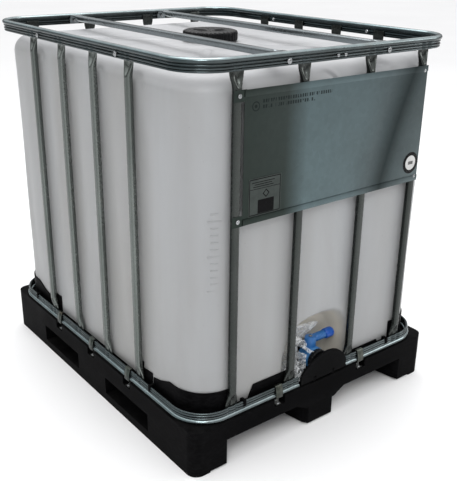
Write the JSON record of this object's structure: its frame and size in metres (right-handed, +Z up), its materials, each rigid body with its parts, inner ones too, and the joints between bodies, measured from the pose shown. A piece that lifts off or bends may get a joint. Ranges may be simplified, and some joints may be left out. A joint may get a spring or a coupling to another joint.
{
  "type": "intermediate bulk container",
  "caption": "Intermediate bulk container: a white blow-moulded bottle in a galvanised tubular cage on a black plastic pallet, with a screw lid, a front plate and a bottom outlet valve.",
  "frame": {"origin": "middle of the footprint, on the floor", "axes": "+Z up, the valve and the plate face -Y, the right side is +X"},
  "size_m": [1, 1.2, 1.18],
  "materials": {
    "black_plastic": "matt black moulded HDPE, dusty and scuffed",
    "galvanised_steel": "galvanised roll-formed steel",
    "plate_steel": "smooth galvanised sheet",
    "zinc_hardware": "zinc plated",
    "printed_label": "grey print on the plate",
    "paper_sticker": "white paper sticker with a black ring",
    "white_hdpe": "translucent natural HDPE",
    "black_lid": "black moulded plastic",
    "seal_rubber": "soft seal",
    "valve_plastic": "natural moulded plastic",
    "steel_inner": "machined",
    "blue_plastic": "blue moulded plastic",
    "clear_film": "thin clear plastic film"
  },
  "bodies": {
    "container": {"pallet_deck": "black_plastic", "skid_left": "black_plastic", "skid_middle": "black_plastic", "skid_right": "black_plastic", "bottle_tray": "black_plastic", "bottom_rail": "galvanised_steel", "top_rail": "galvanised_steel", "bar_front_1": "galvanised_steel", "bar_front_2": "galvanised_steel", "bar_front_3": "galvanised_steel", "bar_front_4": "galvanised_steel", "bar_right_1": "galvanised_steel", "bar_right_2": "galvanised_steel", "bar_right_3": "galvanised_steel", "bar_right_4": "galvanised_steel", "bar_back_1": "galvanised_steel", "bar_back_2": "galvanised_steel", "bar_back_3": "galvanised_steel", "bar_back_4": "galvanised_steel", "bar_left_1": "galvanised_steel", "bar_left_2": "galvanised_steel", "bar_left_3": "galvanised_steel", "bar_left_4": "galvanised_steel", "cross_bar_left": "galvanised_steel", "cross_bar_right": "galvanised_steel", "cross_bar_bolts": "zinc_hardware", "side_rail_bolts": "zinc_hardware", "rail_rivets": "zinc_hardware", "clip_left_1": "galvanised_steel", "clip_left_2": "galvanised_steel", "clip_left_3": "galvanised_steel", "clip_right_1": "galvanised_steel", "clip_right_2": "galvanised_steel", "clip_right_3": "galvanised_steel", "clip_front_1": "galvanised_steel", "clip_front_2": "galvanised_steel", "clip_back_1": "galvanised_steel", "clip_back_2": "galvanised_steel", "clip_screws": "zinc_hardware", "front_plate": "plate_steel", "plate_screws": "zinc_hardware", "label_panel": "printed_label", "round_sticker": "paper_sticker", "bottle": "white_hdpe", "valve_nut": "black_lid", "valve_body": "valve_plastic", "guard_pin": "zinc_hardware", "dust_bag": "clear_film"},
    "lid_seal": {"lid_gasket": "seal_rubber"},
    "lid": {"fill_lid": "black_lid"},
    "valve_handle": {"valve_handle": "blue_plastic", "handle_screw": "zinc_hardware", "valve_stem": "steel_inner", "valve_ball": "steel_inner"},
    "outlet_seal": {"outlet_cap_gasket": "seal_rubber"},
    "outlet_cap": {"outlet_cap": "black_lid"},
    "guard": {"valve_guard": "black_plastic"}
  },
  "joints": [
    {"name": "lid_lift", "type": "slide", "parent": "container", "child": "lid_seal", "axis": [0, 0, 1], "range_m": [0, 0.25]},
    {"name": "lid_turn", "type": "hinge", "parent": "lid_seal", "child": "lid", "pos_m": [0, 0, 1.15], "axis": [0, 0, 1], "range_deg": [0, 540]},
    {"name": "valve_handle_turn", "type": "hinge", "parent": "container", "child": "valve_handle", "pos_m": [0, -0.537, 0.264], "axis": [0, 0, -1], "range_deg": [0, 90]},
    {"name": "outlet_cap_back_off", "type": "slide", "parent": "container", "child": "outlet_seal", "axis": [0, -1, 0], "range_m": [0, 0.009]},
    {"name": "outlet_cap_turn", "type": "hinge", "parent": "outlet_seal", "child": "outlet_cap", "pos_m": [0, -0.572, 0.208], "axis": [0, -1, 0], "range_deg": [0, 540]},
    {"name": "valve_guard_hinge", "type": "hinge", "parent": "container", "child": "guard", "pos_m": [0, -0.589, 0.16], "axis": [1, 0, 0], "range_deg": [0, 90]}
  ],
  "couplings": [
    {"joint": "outlet_cap_back_off", "follows": "outlet_cap_turn", "m_per_rad": 0.00095}
  ]
}
